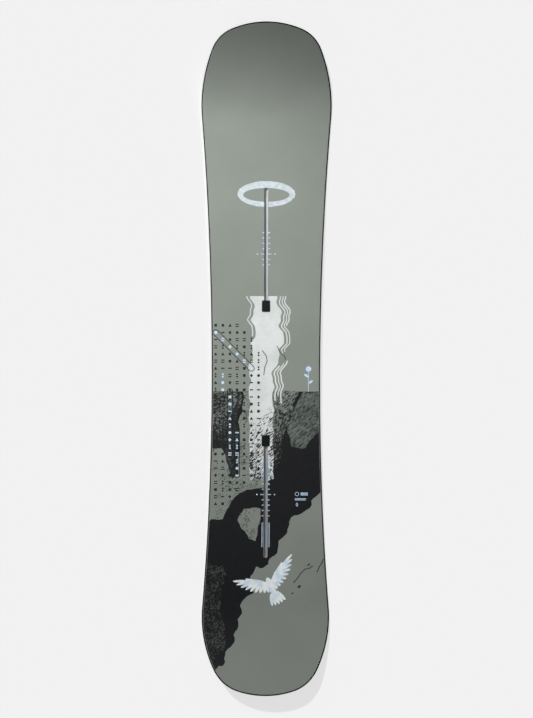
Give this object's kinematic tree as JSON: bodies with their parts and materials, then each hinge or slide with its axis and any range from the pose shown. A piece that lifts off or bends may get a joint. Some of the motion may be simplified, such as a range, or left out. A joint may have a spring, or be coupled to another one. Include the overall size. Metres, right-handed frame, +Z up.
{
  "type": "snowboard",
  "caption": "Directional snowboard with camber, kicked nose and tail, steel edges and two inset channels for binding bolts, each with a lift-out plug; no bindings fitted.",
  "frame": {"origin": "midway along the board on its centre line, level with the flat contact zones of the base", "axes": "+Y to the nose, +X to the toe side, +Z up"},
  "size_m": [0.303, 1.55, 0.0511],
  "materials": {
    "topsheet": "satin grey-green with an abstract printed graphic",
    "glass_laminate": "clear resin over glass cloth",
    "base": "stone-ground, waxed",
    "edge_steel": "ground",
    "rubber": "dull",
    "sidewall": "machined",
    "tip_plastic": "machined",
    "light_wood": "raw poplar-like, sealed in resin",
    "pale_wood": "raw paulownia-like, sealed in resin",
    "track_metal": "satin",
    "plug_plastic": "moulded"
  },
  "bodies": {
    "board": {"topsheet": "topsheet", "top_glass": "glass_laminate", "base_glass": "glass_laminate", "base_sheet": "base", "toe_edge": "edge_steel", "heel_edge": "edge_steel", "toe_edge_damper": "rubber", "heel_edge_damper": "rubber", "toe_sidewall": "sidewall", "heel_sidewall": "sidewall", "nose_spacer": "tip_plastic", "tail_spacer": "tip_plastic", "front_channel_track": "track_metal", "rear_channel_track": "track_metal", "toe_core_strip_1": "light_wood", "toe_core_strip_2": "pale_wood", "toe_core_strip_3": "light_wood", "toe_core_strip_4": "pale_wood", "toe_core_strip_5": "light_wood", "heel_core_strip_1": "light_wood", "heel_core_strip_2": "pale_wood", "heel_core_strip_3": "light_wood", "heel_core_strip_4": "pale_wood", "heel_core_strip_5": "light_wood", "core_centre_nose": "pale_wood", "core_centre_middle": "pale_wood", "core_centre_tail": "pale_wood"},
    "front_plug": {"front_channel_plug": "plug_plastic"},
    "rear_plug": {"rear_channel_plug": "plug_plastic"}
  },
  "joints": [
    {"name": "front_plug_lift", "type": "slide", "parent": "board", "child": "front_plug", "axis": [0, 0, 1], "range_m": [0, 0.02]},
    {"name": "rear_plug_lift", "type": "slide", "parent": "board", "child": "rear_plug", "axis": [0, 0, 1], "range_m": [0, 0.02]}
  ]
}
